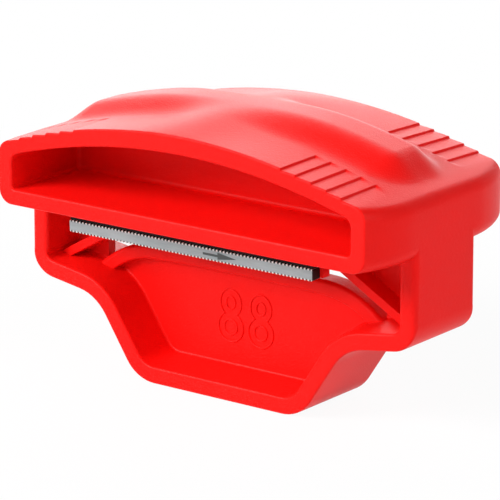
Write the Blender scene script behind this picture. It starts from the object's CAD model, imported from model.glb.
# %% [markdown]
# # An edge tuning tool for skis
#
# The tool is one red plastic moulding that holds a short square file at a fixed angle. The moulding
# is a grip, hollow at the front and the back, with a guide frame under it. The frame's flat rim lies
# on the base of the ski while the file's lower teeth cut the side edge. This lesson loads the tool's
# engineering model as a fixed frame, then models the three pieces again as smooth meshes in the same
# places, and gives each one its finish.

# %% Load the frame
import math

import bpy
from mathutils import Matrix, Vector


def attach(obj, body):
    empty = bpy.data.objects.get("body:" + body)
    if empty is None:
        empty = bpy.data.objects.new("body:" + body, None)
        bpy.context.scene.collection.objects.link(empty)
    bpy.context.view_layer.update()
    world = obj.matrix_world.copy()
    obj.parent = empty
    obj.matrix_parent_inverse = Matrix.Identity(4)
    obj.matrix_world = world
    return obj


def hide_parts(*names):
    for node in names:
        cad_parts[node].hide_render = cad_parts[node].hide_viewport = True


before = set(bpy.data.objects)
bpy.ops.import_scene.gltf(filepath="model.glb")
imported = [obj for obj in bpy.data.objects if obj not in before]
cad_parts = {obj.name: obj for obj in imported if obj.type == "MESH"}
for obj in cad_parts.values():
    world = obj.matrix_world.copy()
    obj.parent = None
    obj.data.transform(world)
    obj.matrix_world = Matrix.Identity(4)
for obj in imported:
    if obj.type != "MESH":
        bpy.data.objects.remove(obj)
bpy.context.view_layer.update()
bpy.ops.object.select_all(action="DESELECT")
MM = 0.001

# %% [markdown]
# ## The sizes that everything follows
#
# A moulding like this has few sizes: the outline of the grip, the outline of the frame, the wall
# thicknesses, and the radii where faces meet. They could be measured on the loaded model one by one,
# but plain millimetres kept together are easier to read and to change. The sizes that only one piece
# needs are given with that piece.

# %% Sizes, in millimetres
WAIST = 61.5  # half length over the side walls
DEPTH = 30.0  # half depth of the grip
BULGE_FRONT, BULGE_BACK = 40.8, 37.1  # radii of the grip's ends, from its faces to the side walls
RIM = 13.25  # guide face and back face of the lower frame
LIP = 46.4  # underside of the grip
WALL = 4.6  # rim of the lower frame
END_RADIUS = 4.0  # corners at the grip's ends
EDGE_RADIUS = 0.5
MOUTH_RADIUS = 0.7  # edges where a hollow or a pocket opens
print("grip", 2 * WAIST, "mm long and", 2 * DEPTH, "mm deep")

# %% [markdown]
# ## The curved top
#
# The top of the grip is an arch along its length with a raised ridge for the palm. The ridge has a
# soft slope all round, and fades into a plain dome at the middle. Five shallow steps at each corner
# stop the fingers from sliding: each is a sharp drop, and then a flat run up to the next. It could
# be sculpted, but a formula for the height says all of this exactly, and the mesh only has to follow
# it.

# %% Sizes of the top
CROWN = LIP + 26.2  # top edge of the front face, at its middle
CROWN_RADIUS = 163.0
DOME_RISE = 0.5
RIDGE_HEIGHT = 2.8
RIDGE_GAIN, RIDGE_GAIN_END = 0.9, 28.0  # the ridge stands higher towards its ends
RIDGE_HALF = 51.5
RIDGE_FRONT, RIDGE_BACK = -7.6, 9.6
RIDGE_CORNER = 5.9
FRONT_SLOPE, BACK_SLOPE, END_SLOPE = 12.0, 6.1, 10.0
SADDLE_HALF = 11.0  # where the ridge gives way to the dome
STEP_X = [32.7, 37.2, 41.9, 46.4, 50.8]  # where each finger step drops
STEP_RUN = 4.5
STEP_DROP = 0.5
STEP_RISER = 0.3  # length of the drop
STEP_INNER = DEPTH - 14.8  # where the steps end, near the ridge
STEP_END, STEP_SPREAD = 0.35, 0.8  # slope of that end, and how it spreads along a step
print(len(STEP_X), "steps at each corner, from", STEP_X[0], "to", STEP_X[-1], "mm")


# %% Height of the top
def ease(t):
    """Ease from 0 to 1 as t goes from 0 to 1."""
    t = min(max(t, 0.0), 1.0)
    return t * t * (3 - 2 * t)


def crown(x):
    """Height of the front face's top edge."""
    return CROWN - x * x / (2 * CROWN_RADIUS)


def ridge(x, y):
    """How much of the palm ridge stands at a place, from 0 to 1."""
    middle = (RIDGE_BACK + RIDGE_FRONT) / 2
    along = abs(x) - RIDGE_HALF + RIDGE_CORNER
    across = abs(y - middle) - (RIDGE_BACK - RIDGE_FRONT) / 2 + RIDGE_CORNER
    outside = math.hypot(max(along, 0), max(across, 0)) + min(max(along, across), 0) - RIDGE_CORNER
    endwise = max(along, 0.01) ** 2 / (max(along, 0.01) ** 2 + max(across, 0) ** 2)
    slope = BACK_SLOPE if y > middle else FRONT_SLOPE
    slope += (END_SLOPE - slope) * endwise
    return ease(0.5 - outside / slope)


def step_depth(x, y):
    """Depth of the finger steps: a sharp drop at each riser, then a flat run back up to the next."""
    depth = 0.0
    for riser in STEP_X:
        past = abs(x) - riser
        left = max(1 - max(past, 0.0) / STEP_RUN, 0.0)
        inwards = (abs(y) - STEP_INNER) / (STEP_END + STEP_SPREAD * max(past, 0.0))
        depth += STEP_DROP * left * ease(past / STEP_RISER + 0.5) * ease(inwards)
    return depth


def top(x, y):
    """Height of the grip's top."""
    dome = max(1 - (y / DEPTH) ** 2, 0)
    saddle = math.exp(-((x / SADDLE_HALF) ** 2))
    rise = RIDGE_HEIGHT + RIDGE_GAIN * ease(abs(x) / RIDGE_GAIN_END)
    swell = rise * (saddle * dome + (1 - saddle) * ridge(x, y))
    return crown(x) + DOME_RISE * dome + swell - step_depth(x, y)


print("top at the middle", round(top(0, 0), 2), "mm; at a step", round(top(34, -25), 2), "mm")


# %% [markdown]
# ## Rings
#
# The grip is a stack of rings, one behind the other from the front face to the back. Each ring is
# the outline of the grip at that depth: along the top, down round one end, back along the bottom and
# up round the other end. All rings have the same number of points, so neighbouring rings join with
# plain four-sided faces, and the shading stays clean. A box with bevels could give the ends, but not
# a top that changes along two directions at once. The hollows have rings of the same kind.

# %% Outlines of the grip
def half_length(y):
    """Half length of the grip at a depth: its ends swell from the faces to the side walls."""
    beyond = max(abs(y) - RIM, 0)
    radius = BULGE_FRONT if y < 0 else BULGE_BACK
    return WAIST - radius + math.sqrt(radius**2 - beyond**2)


def top_columns():
    """Places along the right half of the top, close together at each riser."""
    places = [1.15 * i for i in range(29)]
    for riser in STEP_X:
        places += [riser - 0.15, riser - 0.05, riser + 0.05, riser + 0.15]
        places += [riser + along for along in (0.5, 1.0, 1.6, 2.2, 2.9, 3.6, 4.1)]
    places += [55.6, 56.3, 57.0, 57.6]
    return sorted(places)


COLUMNS = top_columns()
CORNER_POINTS, SIDE_POINTS, BOTTOM_POINTS = 9, 5, 25
PLAIN_HALF = 53.0  # columns beyond this are spread as far as the end's corner
CORNER_REACH = 2.6  # from the grip's end to where the top meets its corner


def arc(centre, radius, start, end, count):
    """Points on an arc in the XZ plane; angles in degrees from +Z toward +X."""
    angles = [math.radians(start + (end - start) * k / (count - 1)) for k in range(count)]
    return [(centre[0] + radius * math.sin(a), centre[1] + radius * math.cos(a)) for a in angles]


def between(a, b, count):
    """Points evenly spaced between a and b, without the ends."""
    return [(a[0] + (b[0] - a[0]) * k / (count + 1), a[1] + (b[1] - a[1]) * k / (count + 1))
            for k in range(1, count + 1)]


def ring_from_half(right):
    """Close the right half of an outline, listed from the top's middle to the bottom's middle."""
    left = [(-x, z) for x, z in reversed(right[1:-1])]
    return right + left


def grip_ring(y, inset):
    """Outline of the grip at a depth, moved inwards by inset."""
    half = half_length(y)
    radius = END_RADIUS
    tilt = math.degrees(math.atan((half - CORNER_REACH) / CROWN_RADIUS))
    last = half - radius + radius * math.sin(math.radians(tilt))
    spread = (last - PLAIN_HALF) / (COLUMNS[-1] - PLAIN_HALF)
    xs = [min(x, PLAIN_HALF) + max(x - PLAIN_HALF, 0) * spread for x in COLUMNS]
    right = [(x, top(x, y) - inset) for x in xs[:-1]]
    centre = (half - radius, top(last, y) - radius * math.cos(math.radians(tilt)))
    right += arc(centre, radius - inset, tilt, 90, CORNER_POINTS)
    foot_arc = arc((half - radius, LIP + radius), radius - inset, 90, 180, CORNER_POINTS)
    right += between(right[-1], foot_arc[0], SIDE_POINTS) + foot_arc
    right += between(right[-1], (0, LIP + inset), BOTTOM_POINTS) + [(0, LIP + inset)]
    return ring_from_half(right)


HOLLOW_HALF = 53.6
HOLLOW_FLOOR, HOLLOW_CEILING = LIP + 4.2, LIP + 21.4
HOLLOW_CURVE = 176.0  # radius of the arched ceiling
HOLLOW_REACH = 2.0  # from the hollow's end to where its ceiling meets the corner
HOLLOW_RADIUS, HOLLOW_FOOT = 2.6, 1.0


def hollow_ring(grow, shrink=0.0):
    """Outline of a finger hollow, wider by grow at its mouth and narrower by shrink inside."""
    half = HOLLOW_HALF + grow - shrink
    floor = HOLLOW_FLOOR - grow + shrink
    ceiling = HOLLOW_CEILING + grow - shrink
    radius, foot_radius = HOLLOW_RADIUS + grow, HOLLOW_FOOT + grow
    tilt = math.degrees(math.atan((half - HOLLOW_REACH) / HOLLOW_CURVE))
    last = half - radius + radius * math.sin(math.radians(tilt))
    xs = [x / COLUMNS[-1] * last for x in COLUMNS]
    heights = [ceiling - x * x / (2 * HOLLOW_CURVE) for x in xs]
    right = list(zip(xs, heights))[:-1]
    centre = (half - radius, heights[-1] - radius * math.cos(math.radians(tilt)))
    right += arc(centre, radius, tilt, 90, CORNER_POINTS)
    foot_arc = arc((half - foot_radius, floor + foot_radius), foot_radius, 90, 180, CORNER_POINTS)
    right += between(right[-1], foot_arc[0], SIDE_POINTS) + foot_arc
    right += between(right[-1], (0, floor), BOTTOM_POINTS) + [(0, floor)]
    return ring_from_half(right)


print("points in a ring", len(grip_ring(0, 0)), len(hollow_ring(0)))


# %% [markdown]
# ## Picking and wrapping
#
# An operator acts on what is selected, so two helpers say exactly what that is before each one. The
# third runs edit-mode steps on a whole mesh, and the fourth makes a solid out of rings: a grid with a
# row of points for each ring, whose first and last columns are merged and whose open ends are filled.
# Extruding a circle from ring to ring would give the same mesh, but takes an operator for each ring.

# %% Wrap a grid over the rings
def deselect():
    """Nothing selected, so that an operator acts only on what is picked next."""
    bpy.ops.object.select_all(action="DESELECT")


def pick(piece):
    """Select one object and make it the active one."""
    deselect()
    piece.select_set(True)
    bpy.context.view_layer.objects.active = piece


def edit_all(*steps):
    """Run edit-mode steps on the whole of the active mesh."""
    bpy.ops.object.mode_set(mode="EDIT")
    bpy.ops.mesh.select_all(action="SELECT")
    for step in steps:
        step()
    bpy.ops.object.mode_set(mode="OBJECT")


def wrap(name, rings):
    """A closed solid from rings of points: a grid with a row for each ring, sewn up and capped."""
    deselect()
    count = len(rings[0])
    bpy.ops.mesh.primitive_grid_add(x_subdivisions=count, y_subdivisions=len(rings) - 1, size=1)
    piece = bpy.context.object
    piece.name = name
    for number, vertex in enumerate(piece.data.vertices):
        row, column = divmod(number, count + 1)
        vertex.co = Vector(rings[row][column % count]) * MM
    edit_all(
        lambda: bpy.ops.mesh.remove_doubles(threshold=0.001 * MM),
        lambda: bpy.ops.mesh.fill_holes(sides=0),
        lambda: bpy.ops.mesh.normals_make_consistent(inside=False),
    )
    print(name, "faces", len(piece.data.polygons))
    return piece


def quarter(radius, steps=4):
    """Steps round a quarter circle: how far each is from the start's face and from the end's face."""
    turns = [math.pi / 2 * k / steps for k in range(steps + 1)]
    return [(radius * (1 - math.cos(a)), radius * (1 - math.sin(a))) for a in turns]


def at_depth(y, outline):
    """An XZ outline as points in space."""
    return [(x, y, z) for x, z in outline]


# %% [markdown]
# ## The grip
#
# The grip is a block as long as a hand is wide, with a hollow for the fingertips in its front and in
# its back, and a wall left between them. The hollows could be cut out with Booleans. Here the rings
# just turn in at each mouth and go on along the inside, so that every edge gets its own rounding and
# the whole grip is one wrapped grid, from the wall of one hollow round to the wall of the other.

# %% The grip
HOLLOW_FRONT = -3.5  # back wall of the front hollow
HOLLOW_BACK = 0.6  # back wall of the back hollow
HOLLOW_CORNER = 1.3
HOLLOW_DRAFT = 0.3  # how much narrower a hollow is at its wall


def half_grip(wall_y, side):
    """Rings from a hollow's back wall, out over its mouth and round the edge of the grip."""
    rings = []
    for along, across in quarter(HOLLOW_CORNER):
        rings.append(at_depth(wall_y + side * along, hollow_ring(0, HOLLOW_DRAFT + across)))
    for along, across in quarter(MOUTH_RADIUS):
        rings.append(at_depth(side * (DEPTH - across), hollow_ring(along)))
    for along, across in quarter(EDGE_RADIUS):
        rings.append(at_depth(side * (DEPTH - along), grip_ring(side * (DEPTH - along), across)))
    return rings


def rows():
    """Depths of the rings between the grip's two rounded edges, close together at the steps' ends."""
    ridge_part = [1.0 * k for k in range(15)]
    ends = [STEP_INNER + d for d in (-0.1, 0.1, 0.2, 0.35, 0.6, 0.9, 1.3, 1.8)]
    start, stop = STEP_INNER + 2.0, DEPTH - EDGE_RADIUS
    outer = [start + (stop - start) * k / 7 for k in range(1, 7)]
    half = ridge_part + ends + outer
    return [-y for y in reversed(half[1:])] + half


grip = wrap(
    "grip",
    half_grip(HOLLOW_FRONT, -1)
    + [at_depth(y, grip_ring(y, 0)) for y in rows()]
    + list(reversed(half_grip(HOLLOW_BACK, 1))),
)


# %% [markdown]
# ## The guide frame
#
# Under the grip hangs a band of the same plastic, bent into the outline of a shallow bucket. Its
# front rim is the flat guide face. The outline is straight runs with a radius at each corner. A curve
# object with a bevel could follow it, but has one section all along, and this one gets thicker.

# %% Outline of the frame
FRAME_CORNERS = [(WAIST, LIP - 22.5, 7.7), (40.0, LIP - 25.9, 12.8), (26.5, 0.0, 10.7)]  # with radii


def rounded_path(corners, step=6.0):
    """Points and directions along straight runs whose corners are rounded; step is in degrees."""
    out = [(Vector(corners[0][:2]), (Vector(corners[1][:2]) - Vector(corners[0][:2])).normalized())]
    for before, corner, after in zip(corners, corners[1:], corners[2:]):
        point = Vector(corner[:2])
        came = (point - Vector(before[:2])).normalized()
        goes = (Vector(after[:2]) - point).normalized()
        turn = came.angle_signed(goes)
        reach = corner[2] * math.tan(abs(turn) / 2)
        start = point - came * reach
        side = Vector((came.y, -came.x)) * (1 if turn > 0 else -1)
        centre = start + side * corner[2]
        count = max(int(abs(math.degrees(turn)) / step), 2)
        for k in range(count + 1):
            angle = -turn * k / count
            cos, sin = math.cos(angle), math.sin(angle)
            arm = start - centre
            here = centre + Vector((arm.x * cos - arm.y * sin, arm.x * sin + arm.y * cos))
            out.append((here, Vector((came.x * cos - came.y * sin, came.x * sin + came.y * cos))))
    last = Vector(corners[-1][:2])
    out.append((last, (last - Vector(corners[-2][:2])).normalized()))
    return out


half_outline = [(WAIST, LIP, 0)] + FRAME_CORNERS
outline = rounded_path(half_outline + [(-x, z, r) for x, z, r in reversed(half_outline)])
print("points along the frame", len(outline), "lowest", round(min(p.y for p, _ in outline), 3))

# %% [markdown]
# ## The band
#
# The band cut across is a flat rim with a rounded edge on each side, an outer face, and an inner face
# that leans slightly, so that the moulding comes out of its tool, with a small radius at its foot.
# The upright sides are a little thicker and softer than the part that hangs below them. One ring of
# this section stands at each point of the outline, square to it, and the same helper wraps them. The
# two ends are tucked up inside the grip, where they don't show.

# %% The band
WEB = 1.4  # half thickness of the web
DRAFT = math.tan(math.radians(4.5))
FOOT_RADIUS = 0.8  # where the inner wall meets the web
OUTER_RADIUS = 0.7  # edge between the rim and the outer face
THICKER, ROUNDER, SOFTER = 0.7, 0.8, 1.1  # added on the upright sides: to wall, mouth and outer edge
UPRIGHT_FROM, UPRIGHT_OVER = 26.0, 6.0  # height where the sides begin, and length of the change


def band_section(upright):
    """The band cut across: distances in from its outer face and depths, once round."""
    edge = OUTER_RADIUS + SOFTER * upright
    mouth = MOUTH_RADIUS + ROUNDER * upright
    wall = WALL + THICKER * upright
    foot = wall + (RIM - WEB - FOOT_RADIUS) * DRAFT
    half = [(0.0, 0.0), (0.0, 0.5 * (RIM - edge))]
    half += [(along, RIM - across) for across, along in reversed(quarter(edge))]
    half += [(wall - across, RIM - along) for along, across in quarter(mouth)]
    half += [(foot + along, WEB + across) for along, across in quarter(FOOT_RADIUS)]
    half += [(foot + FOOT_RADIUS + 0.4, 0.0)]
    return half + [(o, -y) for o, y in reversed(half[1:-1])]


def upright_at(place):
    """1 on the band's upright sides, whose wall is thicker and more rounded, and 0 underneath."""
    return ease((place.y - UPRIGHT_FROM) / UPRIGHT_OVER)


def band_rings():
    """Rings of the band, from one tucked-in end to the other."""
    rings = []
    tucked = Vector((WAIST - 0.7, LIP + END_RADIUS + 1)), Vector((WAIST, LIP + END_RADIUS + 0.3))
    down, up = Vector((0, -1)), Vector((0, 1))
    mirrored = [Vector((-p.x, p.y)) for p in reversed(tucked)]
    path = [(p, down) for p in tucked] + outline + [(p, up) for p in mirrored]
    for place, along in path:
        inwards = Vector((along.y, -along.x))
        ring = []
        for offset, y in band_section(upright_at(place)):
            point = place + inwards * offset
            ring.append((point.x, y, point.y))
        rings.append(ring)
    return rings


band = wrap("band", band_rings())


# %% [markdown]
# ## Slabs
#
# Inside the band the moulding is stiffened by a thin web, an arched flange under the open chip
# window, a slanting strut at each end and a rail for the file. Most of these are a flat outline with
# one thickness. A cube could be moved and scaled into each of them, but a filled circle whose points
# are moved onto the outline takes any outline. It is then extruded and given soft edges.

# %% Slabs
def slab(name, points, low_depth, high_depth, soft=0.0):
    """A flat outline in XZ, given its thickness along Y and soft edges."""
    deselect()
    bpy.ops.mesh.primitive_circle_add(vertices=len(points), fill_type="NGON")
    piece = bpy.context.object
    piece.name = name
    for vertex, (x, z) in zip(piece.data.vertices, points):
        vertex.co = Vector((x, low_depth, z)) * MM
    thickness = (high_depth - low_depth) * MM
    edit_all(
        lambda: bpy.ops.mesh.extrude_region_move(TRANSFORM_OT_translate={"value": (0, thickness, 0)}),
        lambda: bpy.ops.mesh.select_all(action="SELECT"),
        lambda: bpy.ops.mesh.normals_make_consistent(inside=False),
    )
    if soft:
        soften(piece, soft)
    print(name, "faces", len(piece.data.polygons))
    return piece


def soften(piece, width):
    """Round every sharp edge of a piece with an applied bevel."""
    pick(piece)
    bpy.ops.object.modifier_add(type="BEVEL")
    bevel = piece.modifiers[-1]
    bevel.width = width * MM
    bevel.segments = 3
    bevel.limit_method = "ANGLE"
    bevel.angle_limit = math.radians(30)
    bpy.ops.object.modifier_apply(modifier=bevel.name)


# %% [markdown]
# ## The arch
#
# The arch is a flange that stands forward from the web under the window, so that filings slide off
# it and the web stays flat. It is nearly level in the middle, bends down at its shoulders and runs
# into the band. Its front top edge is well rounded, so it isn't a slab: it is a small rounded section
# that is repeated along the arch's line, square to it, and wrapped.

# %% Arch
ARCH_Z = LIP - 11.5
ARCH_THICKNESS = 3.9
ARCH_DEPTH = 4.5  # from the middle of the web forward
ARCH_BACK = WEB + 0.1
ARCH_RADII = (1.2, 0.3, 0.3, 0.5)  # top front, top back, bottom back and bottom front
ARCH_HALF = 49.0
ARCH_FLAT, ARCH_SAG = 27.5, 0.5
ARCH_BEND = 27.0
ARCH_LEAD, ARCH_END = math.radians(2.1), math.radians(38.7)


def arch_z(x):
    """Height of the arch's top: nearly flat, bent down at its shoulders, then straight."""
    x = abs(x)
    if x < ARCH_FLAT:
        return ARCH_Z - ARCH_SAG * (x / ARCH_FLAT) ** 2
    end_x = ARCH_FLAT + ARCH_BEND * (math.sin(ARCH_END) - math.sin(ARCH_LEAD))
    reach = min(x, end_x) - ARCH_FLAT + ARCH_BEND * math.sin(ARCH_LEAD)
    bent = ARCH_Z - ARCH_SAG + math.sqrt(ARCH_BEND**2 - reach**2) - ARCH_BEND * math.cos(ARCH_LEAD)
    return bent - max(x - end_x, 0) * math.tan(ARCH_END)


def arch_line(half):
    """Points along the arch from left to right."""
    count = 64
    return [(x, arch_z(x)) for x in (half * (2 * k / count - 1) for k in range(count + 1))]


def rounded_box(low, high, radii):
    """A box in two directions with a radius for each corner, once round from its top front one."""
    corners = [(low[0], high[1], 1, -1), (high[0], high[1], -1, -1),
               (high[0], low[1], -1, 1), (low[0], low[1], 1, 1)]
    points = []
    for number, ((u, v, side, rise), radius) in enumerate(zip(corners, radii)):
        turns = [(u + side * along, v + rise * across) for along, across in quarter(radius)]
        points += turns[::-1] if number % 2 else turns
    return points


def arch_rings():
    """The flange cut across, at each place along the arch."""
    section = rounded_box((-ARCH_DEPTH, -ARCH_THICKNESS), (ARCH_BACK, 0.0), ARCH_RADII)
    line = arch_line(ARCH_HALF)
    rings = []
    for before, here, after in zip([line[0]] + line, line, line[1:] + [line[-1]]):
        along = (Vector(after) - Vector(before)).normalized()
        rings.append([(here[0] - along.y * up, y, here[1] + along.x * up) for y, up in section])
    return rings


arch = wrap("arch", arch_rings())

# %% [markdown]
# ## The struts
#
# A strut slants from the underside of the grip down to the band on each side, and carries the push of
# the hand to the guide. It is a plain bar, so a slab with four corners is enough. Both of its ends go
# a little way into the plastic that they meet.

# %% Struts
STRUT_HEAD, STRUT_FOOT = Vector((22.7, LIP)), Vector((55.5, LIP - 18.54))
STRUT_DEPTH, STRUT_THICKNESS = 7.2, 2.4
STRUT_SINK = 1.5


def strut(hand):
    """A slanting rib from the underside of the grip down into the side of the band."""
    run = (STRUT_FOOT - STRUT_HEAD).normalized()
    across = Vector((-run.y, run.x)) * STRUT_THICKNESS / 2
    ends = [STRUT_HEAD - run * STRUT_SINK, STRUT_FOOT + run * STRUT_SINK]
    corners = [ends[0] + across, ends[1] + across, ends[1] - across, ends[0] - across]
    return slab("strut", [(hand * c.x, c.y) for c in corners], -STRUT_DEPTH, STRUT_DEPTH, soft=0.3)


struts = [strut(hand) for hand in (-1, 1)]

# %% [markdown]
# ## The web
#
# The web is a thin wall across the band, with a window between the arch and the struts that lets the
# filings fall away. A whole wall could be made and the window cut out of it. It is drawn as three
# slabs that leave the window open, which needs no cut: one below the arch, and one at each side. The
# web stands a hair past the foot of the band, so that the faces of the two cross cleanly.

# %% Web
WINDOW_HALF = 45.0
WEB_HALF = 46.0  # of the part below the arch, at its top
WEB_SINK = 1.2  # how far the web goes into the band
WEB_FACE = WEB + 0.02


def inside_band(distance):
    """The frame's outline moved inwards."""
    return [(p.x + d.y * distance, p.y - d.x * distance) for p, d in outline]


def web_pieces():
    """The web below the arch, and the two parts of it beside the window."""
    inner = inside_band(WALL + WEB_SINK)
    lower = [(x, z) for x, z in inner if z < arch_z(x) - ARCH_THICKNESS / 2]
    lower += [(x, z - ARCH_THICKNESS / 2) for x, z in arch_line(WEB_HALF)]
    pieces = [slab("web below the arch", lower, -WEB_FACE, WEB_FACE)]
    side = [(x, z) for x, z in inner if x > WINDOW_HALF + 1.0]
    side += [(WINDOW_HALF, arch_z(WINDOW_HALF) - 1.0)]
    slope = (STRUT_FOOT.y - STRUT_HEAD.y) / (STRUT_FOOT.x - STRUT_HEAD.x)
    side += [(WINDOW_HALF, STRUT_HEAD.y + slope * (WINDOW_HALF - STRUT_HEAD.x)), tuple(STRUT_HEAD)]
    side = [(STRUT_HEAD.x, LIP + 1.0), (WAIST - WALL - WEB_SINK, LIP + 1.0)] + side
    for hand in (-1, 1):
        points = [(hand * x, z) for x, z in side]
        pieces.append(slab("web beside the window", points, -WEB_FACE, WEB_FACE))
    return pieces


webs = web_pieces()

# %% [markdown]
# ## The rail for the file
#
# The rail hangs from the grip's underside: the file lies against its lower face, on a magnet, and
# its ledge stops the file from being pushed back. The whole seat is tilted by two degrees, and that
# tilt is what sets the angle of the ski's edge. The rail is a slab whose section lies across the
# tool, so a second helper turns a slab to run along it.

# %% Rail for the file
TILT = math.radians(2.0)
FILE_TOP = LIP - 5.4  # at the guide face
FILE_LENGTH, FILE_HEIGHT, FILE_DEPTH = 78.3, 3.2, 3.25
FILE_MIDDLE = -6.45
MAGNET = 0.8  # thickness of the magnet strip
SEAT_SIDE = 0.9  # seat past each end of the file
LEDGE_BACK, LEDGE_Z = -RIM + 3.0, LIP - 8.4
FILE_GAP = 0.12  # between the file's back and the ledge


def seat_point(forward, up):
    """A place in YZ measured from the file's top rear edge, along its tilted faces."""
    return (
        -RIM - forward * math.cos(TILT) - up * math.sin(TILT),
        FILE_TOP - forward * math.sin(TILT) + up * math.cos(TILT),
    )


def prism(name, section, low_x, high_x, soft=0.0):
    """A section in YZ given its length along X: a slab, turned by moving its points."""
    piece = slab(name, section, 0.0, 1.0)
    for vertex in piece.data.vertices:
        across, end, up = vertex.co / MM
        vertex.co = Vector((low_x + (high_x - low_x) * end, across, up)) * MM
    pick(piece)
    edit_all(lambda: bpy.ops.mesh.normals_make_consistent(inside=False))
    if soft:
        soften(piece, soft)
    return piece


rail_section = [
    seat_point(0, MAGNET),
    seat_point(FILE_DEPTH, MAGNET),
    (-RIM - FILE_DEPTH, LIP + 1.0),
    (LEDGE_BACK, LIP + 1.0),
    (LEDGE_BACK, LEDGE_Z),
    (-RIM + FILE_GAP, LEDGE_Z),
    (-RIM + FILE_GAP, seat_point(0, MAGNET)[1]),
]
rail_half = FILE_LENGTH / 2 + SEAT_SIDE
rail = prism("rail", rail_section, FILE_MIDDLE - rail_half, FILE_MIDDLE + rail_half, soft=0.1)


# %% [markdown]
# ## The raised angle mark
#
# The web carries the guide's angle as two outlined numerals, raised by a fraction of a millimetre.
# A text object would bring a font with it, and its shape wouldn't be ours to set. Each numeral is two
# ovals drawn as one outline, with a smaller oval inside each. A line of that kind is a thin rounded
# bar along a closed path, so it is again a set of rings.

# %% Numerals
NUMERAL_Z = LIP - 27.6
NUMERAL_X = [-4.1, 5.6]
LOBES = [(3.4, 3.6, 3.9), (-3.1, 4.2, 4.2)]  # rise, half width and half height
STROKE, LINE, RELIEF = 1.9, 0.5, 0.35
NECK = 0.1  # rise of the point that the outline is drawn around


def oval(lobe, inset, count=48):
    """Points round one oval of a numeral, moved inwards by inset."""
    lift, half_width, half_height = lobe
    turns = [2 * math.pi * k / count for k in range(count)]
    return [((half_width - inset) * math.sin(t), lift + (half_height - inset) * math.cos(t)) for t in turns]


def outside(point, lobe, inset):
    """Whether a point lies outside an oval."""
    lift, half_width, half_height = lobe
    return (point[0] / (half_width - inset)) ** 2 + ((point[1] - lift) / (half_height - inset)) ** 2 > 1


def raised_line(name, path):
    """A rounded line that stands on the web along a closed path."""
    rings = []
    for before, here, after in zip(path[-1:] + path[:-1], path, path[1:] + path[:1]):
        along = (Vector(after) - Vector(before)).normalized()
        side = Vector((-along.y, along.x))
        ring = []
        for k in range(9):
            angle = math.pi * k / 8
            point = Vector(here) + side * (LINE / 2 * math.cos(angle))
            ring.append((point.x, -WEB - RELIEF * math.sin(angle), point.y))
        ring.append((here[0] - side.x * LINE / 2, -WEB + 0.3, here[1] - side.y * LINE / 2))
        ring.append((here[0] + side.x * LINE / 2, -WEB + 0.3, here[1] + side.y * LINE / 2))
        rings.append(ring)
    return wrap(name, rings + [rings[0]])


def numeral(x):
    """The lines of one numeral: its outline, and an oval inside each lobe."""
    half = LINE / 2
    above, below = LOBES
    upper = [p for p in oval(above, half) if outside(p, below, half)]
    lower = [p for p in oval(below, half) if outside(p, above, half)]
    around = sorted(upper + lower, key=lambda p: math.atan2(p[0], p[1] - NECK))
    lines = [around] + [oval(lobe, STROKE + half, 32) for lobe in LOBES]
    return [raised_line("numeral line", [(x + px, NUMERAL_Z + pz) for px, pz in line]) for line in lines]


numeral_lines = [line for x in NUMERAL_X for line in numeral(x)]

# %% [markdown]
# ## The file bar
#
# The file is a short square bar of hard steel with a row of teeth across its top and its bottom. It
# is the part that cuts, so it is modelled tooth by tooth. An array of small cutters would do, but
# slowly: here the bar is a set of rings along its length, and at each tooth three of them make a
# notch.

# %% File
TOOTH_PITCH, TOOTH_DEPTH, TOOTH_COUNT = 1.1, 0.35, 69
FILE_CORNER, FILE_EDGE = 0.4, 0.12


def file_ring(x, inset, notch):
    """The bar cut across at x, smaller by inset, with its two toothed faces lowered by notch."""
    top_level, bottom_level = -inset - notch, -FILE_HEIGHT + inset + notch
    corners = [
        (FILE_DEPTH, top_level, -1, -1),
        (FILE_DEPTH, bottom_level, -1, 1),
        (0.0, bottom_level, 1, 1),
        (0.0, top_level, 1, -1),
    ]
    ring = []
    for number, (forward, up, back, inside) in enumerate(corners):
        turns = quarter(FILE_EDGE, 2)
        if number % 2 == 0:
            turns.reverse()
        for along, across in turns:
            y, z = seat_point(forward + back * along, up + inside * across)
            ring.append((x, y, z))
    return ring


def file_rings():
    """Rings along the bar, from its left end to its right end."""
    left = FILE_MIDDLE - FILE_LENGTH / 2
    ends = [(along, FILE_CORNER - math.sqrt(FILE_CORNER**2 - (FILE_CORNER - along) ** 2))
            for along in (0.0, 0.05, 0.12, 0.25, FILE_CORNER)]
    rings = [file_ring(left + along, inset, 0) for along, inset in ends]
    for tooth in range(TOOTH_COUNT):
        middle = FILE_MIDDLE + (tooth - TOOTH_COUNT // 2) * TOOTH_PITCH
        for step in (-TOOTH_DEPTH, 0.0, TOOTH_DEPTH):
            rings.append(file_ring(middle + step, 0, TOOTH_DEPTH - abs(step)))
    rings += [file_ring(left + FILE_LENGTH - along, inset, 0) for along, inset in reversed(ends)]
    return rings


file_piece = wrap("file", file_rings())

# %% [markdown]
# ## The magnet strip
#
# A thin black strip of magnet fills the gap between the rail and the file, and holds the file by its
# top face. It is cut from a roll with square corners, so it is a slab again, set back a little from
# both edges of the file.

# %% Magnet strip
MAGNET_INSET, MAGNET_LIFT = 0.4, 0.02
magnet_section = [
    seat_point(MAGNET_INSET, MAGNET_LIFT),
    seat_point(FILE_DEPTH - MAGNET_INSET, MAGNET_LIFT),
    seat_point(FILE_DEPTH - MAGNET_INSET, MAGNET),
    seat_point(MAGNET_INSET, MAGNET),
]
magnet_low = FILE_MIDDLE - FILE_LENGTH / 2
magnet = prism("magnet", magnet_section, magnet_low, magnet_low + FILE_LENGTH, soft=0.05)

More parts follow.
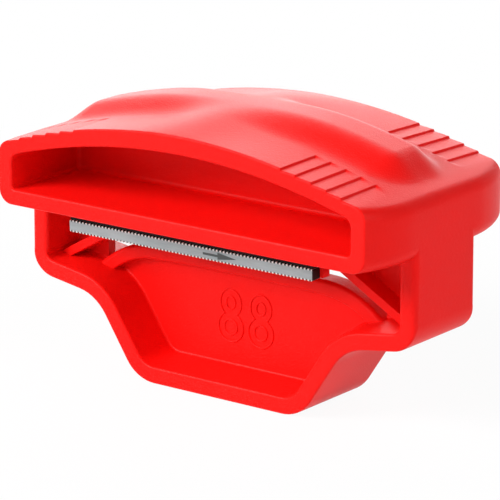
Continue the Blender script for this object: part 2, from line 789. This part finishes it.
# %% [markdown]
# ## One moulding
#
# The pieces of the moulding pass into each other, as they were drawn one at a time. The real part
# is one shot of plastic, so they are fused by exact Boolean unions into one closed skin. A plain join
# would leave walls inside it. The numerals are so thin and so many-sided that they are only joined.
# Shading is smooth over the rounded edges, and weighted normals keep the flat faces flat.

# %% Join the moulding
def unite(piece, other):
    """Fuse another closed piece into the first one, and delete it."""
    pick(piece)
    bpy.ops.object.modifier_add(type="BOOLEAN")
    union = piece.modifiers[-1]
    union.operation = "UNION"
    union.solver = "EXACT"
    union.object = other
    bpy.ops.object.modifier_apply(modifier=union.name)
    pick(other)
    bpy.ops.object.delete()


def finish_shading(piece, angle=35):
    """Smooth shading over soft edges only, with flat faces kept flat."""
    pick(piece)
    bpy.ops.object.shade_smooth_by_angle(angle=math.radians(angle))
    bpy.ops.object.modifier_add(type="WEIGHTED_NORMAL")
    weighted = piece.modifiers[-1]
    weighted.keep_sharp = True
    bpy.ops.object.modifier_apply(modifier=weighted.name)


moulding = band
moulding.name = "moulding"
for other in [grip] + webs + [arch] + struts + [rail]:
    unite(moulding, other)
for line in numeral_lines:
    line.select_set(True)
moulding.select_set(True)
bpy.context.view_layer.objects.active = moulding
bpy.ops.object.join()
for piece in (moulding, file_piece, magnet):
    finish_shading(piece)
print("moulding faces", len(moulding.data.polygons))


# %% [markdown]
# ## Finishes
#
# Every finish is made of nodes, so it has no picture that could stretch or run out. Effects that the
# finishes have in common are node groups, built once and set differently in each. A few helpers keep
# the recipes short: one makes a group, one a node with its settings, one a sum, one a material.

# %% Helpers for materials
def new_group(name, inputs, outputs):
    """An empty shader node group with its sockets: name, kind and default value."""
    group = bpy.data.node_groups.new(name, "ShaderNodeTree")
    for label, kind, value in inputs:
        socket = group.interface.new_socket(label, in_out="INPUT", socket_type=kind)
        if value is not None:
            socket.default_value = value
    for label, kind in outputs:
        group.interface.new_socket(label, in_out="OUTPUT", socket_type=kind)
    return group, group.nodes.new("NodeGroupInput"), group.nodes.new("NodeGroupOutput")


def add_node(tree, kind, **settings):
    """A node with its plain settings; inputs that are named in settings get their values."""
    node = tree.nodes.new(kind)
    for key, value in settings.items():
        if hasattr(node, key):
            setattr(node, key, value)
        else:
            node.inputs[key.replace("_", " ").title()].default_value = value
    return node


def math_node(tree, operation, first, second, clamp=False):
    """A maths node: each of its two inputs is a number or a socket."""
    node = tree.nodes.new("ShaderNodeMath")
    node.operation = operation
    node.use_clamp = clamp
    for slot, value in zip(node.inputs, (first, second)):
        if isinstance(value, (int, float)):
            slot.default_value = value
        else:
            tree.links.new(value, slot)
    return node.outputs[0]


def new_material(name):
    """A node material with its Principled shader."""
    material = bpy.data.materials.new(name)
    material.use_nodes = True
    return material, material.node_tree, material.node_tree.nodes["Principled BSDF"]


def use_group(tree, group, **values):
    """A group placed in a material, with its inputs set."""
    node = tree.nodes.new("ShaderNodeGroup")
    node.node_tree = group
    for key, value in values.items():
        node.inputs[key.replace("_", " ").capitalize()].default_value = value
    return node


# %% [markdown]
# ## Grain
#
# A spark-eroded mould leaves fine pits in plastic, and grinding leaves fine lines in steel. Both are
# small noise, in steel drawn out along one axis. Noise gives the pits and a cell texture breaks them
# up. The group hands out a height for bumps and a mask for roughness or colour.

# %% Grain
grain_group, given, made = new_group(
    "Grain",
    [("Scale", "NodeSocketFloat", 1500.0), ("Stretch", "NodeSocketVector", (1, 1, 1))],
    [("Height", "NodeSocketFloat"), ("Mask", "NodeSocketFloat")],
)
place = add_node(grain_group, "ShaderNodeTexCoord")
stretched = add_node(grain_group, "ShaderNodeVectorMath", operation="MULTIPLY")
pits = add_node(grain_group, "ShaderNodeTexNoise", detail=2.0, roughness=0.6)
cells = add_node(grain_group, "ShaderNodeTexVoronoi")
links = grain_group.links
links.new(place.outputs["Object"], stretched.inputs[0])
links.new(given.outputs["Stretch"], stretched.inputs[1])
for texture in (pits, cells):
    links.new(stretched.outputs[0], texture.inputs["Vector"])
    links.new(given.outputs["Scale"], texture.inputs["Scale"])
half_cells = math_node(grain_group, "MULTIPLY", cells.outputs["Distance"], 0.5)
links.new(math_node(grain_group, "ADD", pits.outputs["Fac"], half_cells), made.inputs["Height"])
links.new(pits.outputs["Fac"], made.inputs["Mask"])
print("group", grain_group.name, "nodes", len(grain_group.nodes))

# %% [markdown]
# ## Drift
#
# No real surface has quite the same colour and gloss all over. Drift is a slow noise, spread between
# a low and a high value, that a finish can put on whatever should vary.

# %% Drift
drift_group, given, made = new_group(
    "Drift",
    [("Scale", "NodeSocketFloat", 40.0), ("Low", "NodeSocketFloat", 0.0), ("High", "NodeSocketFloat", 1.0)],
    [("Value", "NodeSocketFloat")],
)
place = add_node(drift_group, "ShaderNodeTexCoord")
clouds = add_node(drift_group, "ShaderNodeTexNoise", detail=3.0)
spread = add_node(drift_group, "ShaderNodeMapRange", from_min=0.3, from_max=0.7)
links = drift_group.links
links.new(place.outputs["Object"], clouds.inputs["Vector"])
links.new(given.outputs["Scale"], clouds.inputs["Scale"])
links.new(clouds.outputs["Fac"], spread.inputs["Value"])
links.new(given.outputs["Low"], spread.inputs["To Min"])
links.new(given.outputs["High"], spread.inputs["To Max"])
links.new(spread.outputs["Result"], made.inputs["Value"])
print("group", drift_group.name, "nodes", len(drift_group.nodes))

# %% [markdown]
# ## Worn edges
#
# Hands and skis rub the edges of a tool first. A bevel node gives the normal that a rounded edge
# would have: where that departs from the true normal, there is an edge. The mask could be painted
# by hand, but this one follows any change of the shape.

# %% Worn edges
worn_group, given, made = new_group(
    "Worn edges",
    [("Radius", "NodeSocketFloat", 0.0006), ("Amount", "NodeSocketFloat", 1.0)],
    [("Mask", "NodeSocketFloat")],
)
rounded = add_node(worn_group, "ShaderNodeBevel", samples=4)
true_normal = add_node(worn_group, "ShaderNodeNewGeometry")
agree = add_node(worn_group, "ShaderNodeVectorMath", operation="DOT_PRODUCT")
links = worn_group.links
links.new(given.outputs["Radius"], rounded.inputs["Radius"])
links.new(rounded.outputs["Normal"], agree.inputs[0])
links.new(true_normal.outputs["Normal"], agree.inputs[1])
bend = math_node(worn_group, "SUBTRACT", 1.0, agree.outputs["Value"])
links.new(math_node(worn_group, "MULTIPLY", bend, given.outputs["Amount"], clamp=True), made.inputs["Mask"])
print("group", worn_group.name, "nodes", len(worn_group.nodes))

# %% [markdown]
# ## Red plastic
#
# The moulding is an opaque, strongly coloured plastic such as ABS. Its mould was given a fine, even
# texture, which takes the gloss off: the grain is about half a millimetre across and a tenth deep at
# most. The colour is nearly pure red and hardly changes, apart from a slow drift and a slightly paler
# line along rubbed edges. It reflects less than bare plastic would, so that it stays a deep red.

# %% Red plastic
red, tree, shader = new_material("red plastic")
shader.inputs["Specular IOR Level"].default_value = 0.1
red_drift = use_group(tree, drift_group, scale=30.0, low=0.0, high=1.0)
red_mix = add_node(tree, "ShaderNodeMix", data_type="RGBA")
red_mix.inputs["A"].default_value = (0.84, 0.005, 0.004, 1)
red_mix.inputs["B"].default_value = (0.80, 0.007, 0.005, 1)
red_worn = use_group(tree, worn_group, radius=0.0005, amount=0.6)
red_edge = add_node(tree, "ShaderNodeMix", data_type="RGBA")
red_edge.inputs["B"].default_value = (0.9, 0.02, 0.015, 1)
red_grain = use_group(tree, grain_group, scale=2200.0)
red_rough = add_node(tree, "ShaderNodeMapRange", to_min=0.34, to_max=0.44)
red_bump = add_node(tree, "ShaderNodeBump", strength=0.6, distance=0.00013)
tree.links.new(red_drift.outputs["Value"], red_mix.inputs["Factor"])
tree.links.new(red_mix.outputs["Result"], red_edge.inputs["A"])
tree.links.new(red_worn.outputs["Mask"], red_edge.inputs["Factor"])
tree.links.new(red_edge.outputs["Result"], shader.inputs["Base Color"])
tree.links.new(red_grain.outputs["Mask"], red_rough.inputs["Value"])
tree.links.new(red_rough.outputs["Result"], shader.inputs["Roughness"])
tree.links.new(red_grain.outputs["Height"], red_bump.inputs["Height"])
tree.links.new(red_bump.outputs["Normal"], shader.inputs["Normal"])
print("material", red.name)

# %% [markdown]
# ## Places on the file
#
# The file has bright teeth, black ends and a printed mark, each in its own place. They could be
# separate materials on picked faces, but most of them are smaller than a face. So the file's finish
# starts from the place on the file, in millimetres. It goes by the piece's own coordinates, and the
# marks stay on the file as it moves.

# %% Places on the file, in millimetres
steel, tree, shader = new_material("file steel")
place = add_node(tree, "ShaderNodeTexCoord")
in_mm = add_node(tree, "ShaderNodeVectorMath", operation="SCALE")
in_mm.inputs["Scale"].default_value = 1 / MM
split = add_node(tree, "ShaderNodeSeparateXYZ")
facing = add_node(tree, "ShaderNodeSeparateXYZ")
tree.links.new(place.outputs["Object"], in_mm.inputs[0])
tree.links.new(in_mm.outputs[0], split.inputs[0])
tree.links.new(place.outputs["Normal"], facing.inputs[0])
along, depth, height = (split.outputs[axis] for axis in "XYZ")
FACE_MIDDLE = FILE_TOP - 1.71  # height of the middle of the front face
STEEP = 0.7  # what looks this much along the bar is an end face or the flank of a notch
off_middle = math_node(tree, "SUBTRACT", height, FACE_MIDDLE)
off_middle = math_node(tree, "ABSOLUTE", off_middle, 0)
end_face = math_node(tree, "ABSOLUTE", facing.outputs["X"], 0)
end_face = math_node(tree, "GREATER_THAN", end_face, STEEP)
print("nodes for places", len(tree.nodes))

# %% [markdown]
# ## Bright teeth and dark notches
#
# The tips of the teeth are bright where they have been cut, and the notches between them hold dark
# dust. Only a narrow row next to each edge shows it from the front. How far a place is from its
# nearest tip comes from a repeating count along the bar, with the same pitch as the notches.

# %% Bright teeth and dark notches
turn = math_node(tree, "DIVIDE", math_node(tree, "SUBTRACT", along, FILE_MIDDLE), TOOTH_PITCH)
turn = math_node(tree, "FRACT", turn, 0)
from_tip = math_node(tree, "ABSOLUTE", math_node(tree, "SUBTRACT", turn, 0.5), 0)
tip = add_node(tree, "ShaderNodeMapRange", from_min=0.32, from_max=0.08)
near_edge = add_node(tree, "ShaderNodeMapRange", from_min=1.05, from_max=1.3)
tree.links.new(from_tip, tip.inputs["Value"])
tree.links.new(off_middle, near_edge.inputs["Value"])
tooth_mask = math_node(tree, "MULTIPLY", tip.outputs["Result"], near_edge.outputs["Result"])
notch_mask = math_node(tree, "SUBTRACT", near_edge.outputs["Result"], tooth_mask, clamp=True)
print("nodes with teeth", len(tree.nodes))

# %% [markdown]
# ## An arrow for the stroke
#
# A plain arrow printed on the front shows the way to push. A thin separate mesh would do, but a
# print has no thickness. Its half height at each place along the bar is a formula, a straight shaft
# and then a head that narrows to its tip, and what is nearer the middle line than that is printed.

# %% Arrow for the stroke
ARROW_START, ARROW_NECK, ARROW_TIP = -1.6, 3.1, 9.2
SHAFT_HALF, HEAD_HALF = 0.32, 0.95
slope = HEAD_HALF / (ARROW_TIP - ARROW_NECK)
head = math_node(tree, "MULTIPLY", math_node(tree, "SUBTRACT", ARROW_TIP, along), slope)
in_head = math_node(tree, "GREATER_THAN", along, ARROW_NECK)
half = math_node(tree, "MULTIPLY", in_head, math_node(tree, "SUBTRACT", head, SHAFT_HALF))
half = math_node(tree, "ADD", half, SHAFT_HALF)
arrow = math_node(tree, "GREATER_THAN", half, off_middle)
arrow = math_node(tree, "MULTIPLY", arrow, math_node(tree, "GREATER_THAN", along, ARROW_START))
PRINT_DEPTH = 0.3  # the print is on what lies this near the front
front = math_node(tree, "LESS_THAN", depth, -RIM - FILE_DEPTH + PRINT_DEPTH)
arrow = math_node(tree, "MULTIPLY", arrow, front)
print("arrow from", ARROW_START, "to", ARROW_TIP, "mm")

# %% [markdown]
# ## File steel
#
# The bar is hard steel, ground along its faces: grey, half dull, with fine lines along it. The sawn
# ends and the flanks of the notches weren't ground, and are still black from hardening. The colours
# of the marks are laid over the steel's one after the other, each with its mask, as coats of paint
# would be.

# %% File steel
shader.inputs["Metallic"].default_value = 0.5
steel_drift = use_group(tree, drift_group, scale=30.0, low=0.0, high=0.6)
steel_grain = use_group(tree, grain_group, scale=2400.0, stretch=(0.12, 1, 1))
colour = add_node(tree, "ShaderNodeMix", data_type="RGBA")
colour.inputs["A"].default_value = (0.22, 0.27, 0.28, 1)
colour.inputs["B"].default_value = (0.48, 0.54, 0.55, 1)
streaks = math_node(tree, "MULTIPLY", steel_grain.outputs["Mask"], 0.5)
tree.links.new(math_node(tree, "ADD", steel_drift.outputs["Value"], streaks), colour.inputs["Factor"])
for mask, shade in ((notch_mask, (0.05, 0.04, 0.04, 1)), (tooth_mask, (0.82, 0.81, 0.77, 1)),
                    (arrow, (0.07, 0.085, 0.085, 1)), (end_face, (0.008, 0.012, 0.012, 1))):
    layer = add_node(tree, "ShaderNodeMix", data_type="RGBA")
    layer.inputs["B"].default_value = shade
    tree.links.new(colour.outputs["Result"], layer.inputs["A"])
    tree.links.new(mask, layer.inputs["Factor"])
    colour = layer
tree.links.new(colour.outputs["Result"], shader.inputs["Base Color"])
steel_rough = add_node(tree, "ShaderNodeMapRange", to_min=0.35, to_max=0.55)
steel_bump = add_node(tree, "ShaderNodeBump", strength=0.3, distance=0.00003)
tree.links.new(steel_grain.outputs["Mask"], steel_rough.inputs["Value"])
tree.links.new(steel_rough.outputs["Result"], shader.inputs["Roughness"])
tree.links.new(steel_grain.outputs["Height"], steel_bump.inputs["Height"])
tree.links.new(steel_bump.outputs["Normal"], shader.inputs["Normal"])
print("material", steel.name)

# %% [markdown]
# ## Magnet black
#
# The strip is ferrite powder in rubber: nearly black and matt, with a fine speckle.

# %% Magnet black
black, tree, shader = new_material("magnet black")
shader.inputs["Specular IOR Level"].default_value = 0.2
black_grain = use_group(tree, grain_group, scale=3000.0)
black_colour = add_node(tree, "ShaderNodeMix", data_type="RGBA")
black_colour.inputs["A"].default_value = (0.004, 0.004, 0.004, 1)
black_colour.inputs["B"].default_value = (0.02, 0.02, 0.019, 1)
black_rough = use_group(tree, drift_group, scale=200.0, low=0.7, high=0.9)
black_bump = add_node(tree, "ShaderNodeBump", strength=0.3, distance=0.00004)
tree.links.new(black_grain.outputs["Mask"], black_colour.inputs["Factor"])
tree.links.new(black_colour.outputs["Result"], shader.inputs["Base Color"])
tree.links.new(black_rough.outputs["Value"], shader.inputs["Roughness"])
tree.links.new(black_grain.outputs["Height"], black_bump.inputs["Height"])
tree.links.new(black_bump.outputs["Normal"], shader.inputs["Normal"])
print("material", black.name)

# %% [markdown]
# ## Finishes on, and pieces on their bodies
#
# Each piece takes one finish. Then each is told which body of the model it moves with, which plain
# piece it stands in for, and which slot its finish fills. The file moves on its own, as it comes off
# the magnet to be turned or changed. The moulding and the magnet stay together.

# %% Put the finishes on
for piece, material in ((moulding, red), (file_piece, steel), (magnet, black)):
    piece.data.materials.clear()
    piece.data.materials.append(material)
    print(piece.name, "has", material.name)

# %% Ride
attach(moulding, "guide")
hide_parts("body")
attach(magnet, "guide")
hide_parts("magnet_strip")
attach(file_piece, "file")
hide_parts("file_bar")

# %% [markdown]
# ## Floor
#
# The tool stands on a white sweep. Lighting a floor until it is white would burn out the tool as
# well, so what the camera and reflections see of it is set to white by light path. Next to the tool
# the floor keeps a small part of its own shading, and with it the tool's shadow.

# %% Floor
deselect()
bpy.ops.mesh.primitive_plane_add(size=6)
floor = bpy.context.object
floor.name = "floor"


def seen_rays(tree):
    """1 for rays from the camera, from reflections and through glass, and 0 for the rest."""
    rays = tree.nodes.new("ShaderNodeLightPath")
    both = math_node(tree, "ADD", rays.outputs["Is Camera Ray"], rays.outputs["Is Glossy Ray"], clamp=True)
    return math_node(tree, "ADD", both, rays.outputs["Is Transmission Ray"], clamp=True)


NEAR_WHITE = 0.94  # share of plain white in what is seen of the floor next to the tool
NEAR, FAR = 0.08, 0.3  # metres from the middle, between which that share goes up to 1
floor_material, tree, shader = new_material("pale floor")
shader.inputs["Base Color"].default_value = (0.85, 0.85, 0.85, 1)
shader.inputs["Specular IOR Level"].default_value = 0.0
white = tree.nodes.new("ShaderNodeEmission")
blend = tree.nodes.new("ShaderNodeMixShader")
place = add_node(tree, "ShaderNodeTexCoord")
away = add_node(tree, "ShaderNodeVectorMath", operation="LENGTH")
share = add_node(tree, "ShaderNodeMapRange", from_min=NEAR, from_max=FAR, to_min=NEAR_WHITE)
tree.links.new(place.outputs["Object"], away.inputs[0])
tree.links.new(away.outputs["Value"], share.inputs["Value"])
tree.links.new(math_node(tree, "MULTIPLY", seen_rays(tree), share.outputs["Result"]), blend.inputs["Fac"])
tree.links.new(shader.outputs["BSDF"], blend.inputs[1])
tree.links.new(white.outputs["Emission"], blend.inputs[2])
tree.links.new(blend.outputs["Shader"], tree.nodes["Material Output"].inputs["Surface"])
floor.data.materials.append(floor_material)
print("floor", round(floor.dimensions.x, 2), "m wide")

# %% [markdown]
# ## World
#
# The world is seen in the same way: plain white for the camera and in reflections, and a faint
# light from all round for everything else, so that the shadows aren't black.

# %% World
world = bpy.data.worlds.new("studio")
bpy.context.scene.world = world
world.use_nodes = True
tree = world.node_tree
level = tree.nodes.new("ShaderNodeMapRange")
level.inputs["To Min"].default_value = 0.05  # what it gives the tool as light
tree.links.new(seen_rays(tree), level.inputs["Value"])
tree.links.new(level.outputs["Result"], tree.nodes["Background"].inputs["Strength"])
tree.nodes["Background"].inputs["Color"].default_value = (1, 1, 1, 1)
print("world", world.name)


# %% [markdown]
# ## Lamps
#
# Large square lamps give soft shadows with a clear direction, as in a studio. The key stands at the
# front left and shapes the hollow and the pockets. A weaker one lights the right side, and a faint
# one opens the shadows at the front. The one behind glances off the top and shows its curves.

# %% Lamps
AIM = Vector((0, 0, 0.045))


def softbox(name, place, size, watts):
    """A square area lamp that looks at the tool."""
    deselect()
    bpy.ops.object.light_add(type="AREA", location=place)
    lamp = bpy.context.object
    lamp.name = name
    lamp.data.size = size
    lamp.data.energy = watts
    direction = AIM - Vector(place)
    lamp.rotation_euler = direction.to_track_quat("-Z", "Y").to_euler()
    print(name, "lamp", watts, "W")


softbox("key", (-0.45, -0.76, 0.58), 0.5, 14.3)
softbox("right", (0.9, -0.1, 0.5), 0.5, 5.0)
softbox("front", (0.0, -1.1, 0.3), 0.5, 1.0)
softbox("behind", (-0.6, 0.95, 0.5), 1.0, 9.0)

# %% [markdown]
# ## Camera
#
# The camera stands far away with a long lens, so that the tool keeps its true proportions. Its place
# is given as a direction from the lower edge of the grip's front face, a distance, and a small shift
# to the right and down, which sets the tool in the picture without turning the view.

# %% Camera
AZIMUTH, ELEVATION = math.radians(37.215), math.radians(15.593)
DISTANCE, SHIFT_X, SHIFT_Y = 827.85, 18.895, -2.907
LENS, SENSOR = 239.3, 36
toward = Vector((math.sin(AZIMUTH) * math.cos(ELEVATION), -math.cos(AZIMUTH) * math.cos(ELEVATION),
                 math.sin(ELEVATION)))
rightward = Vector((math.cos(AZIMUTH), math.sin(AZIMUTH), 0))
upward = toward.cross(rightward)
spot = toward * DISTANCE + rightward * SHIFT_X + upward * SHIFT_Y + Vector((0, -DEPTH, LIP))
deselect()
bpy.ops.object.camera_add(location=spot * MM)
camera = bpy.context.object
camera.rotation_euler = (math.radians(90) - ELEVATION, 0, AZIMUTH)
camera.data.sensor_width = SENSOR
camera.data.lens = LENS
camera.data.clip_start = 0.01
bpy.context.scene.camera = camera
bpy.context.scene.view_settings.view_transform = "Standard"
print("camera", round(spot.length), "mm from the tool's foot")

# %% [markdown]
# ## Sizes kept
#
# The box of the plain model was measured at the start. The box of the finished pieces is measured
# here, and both are kept, so that it is easy to see that the one stays inside the other.

# %% Sizes kept
print("kept the boxes of the plain model and of the finished pieces")
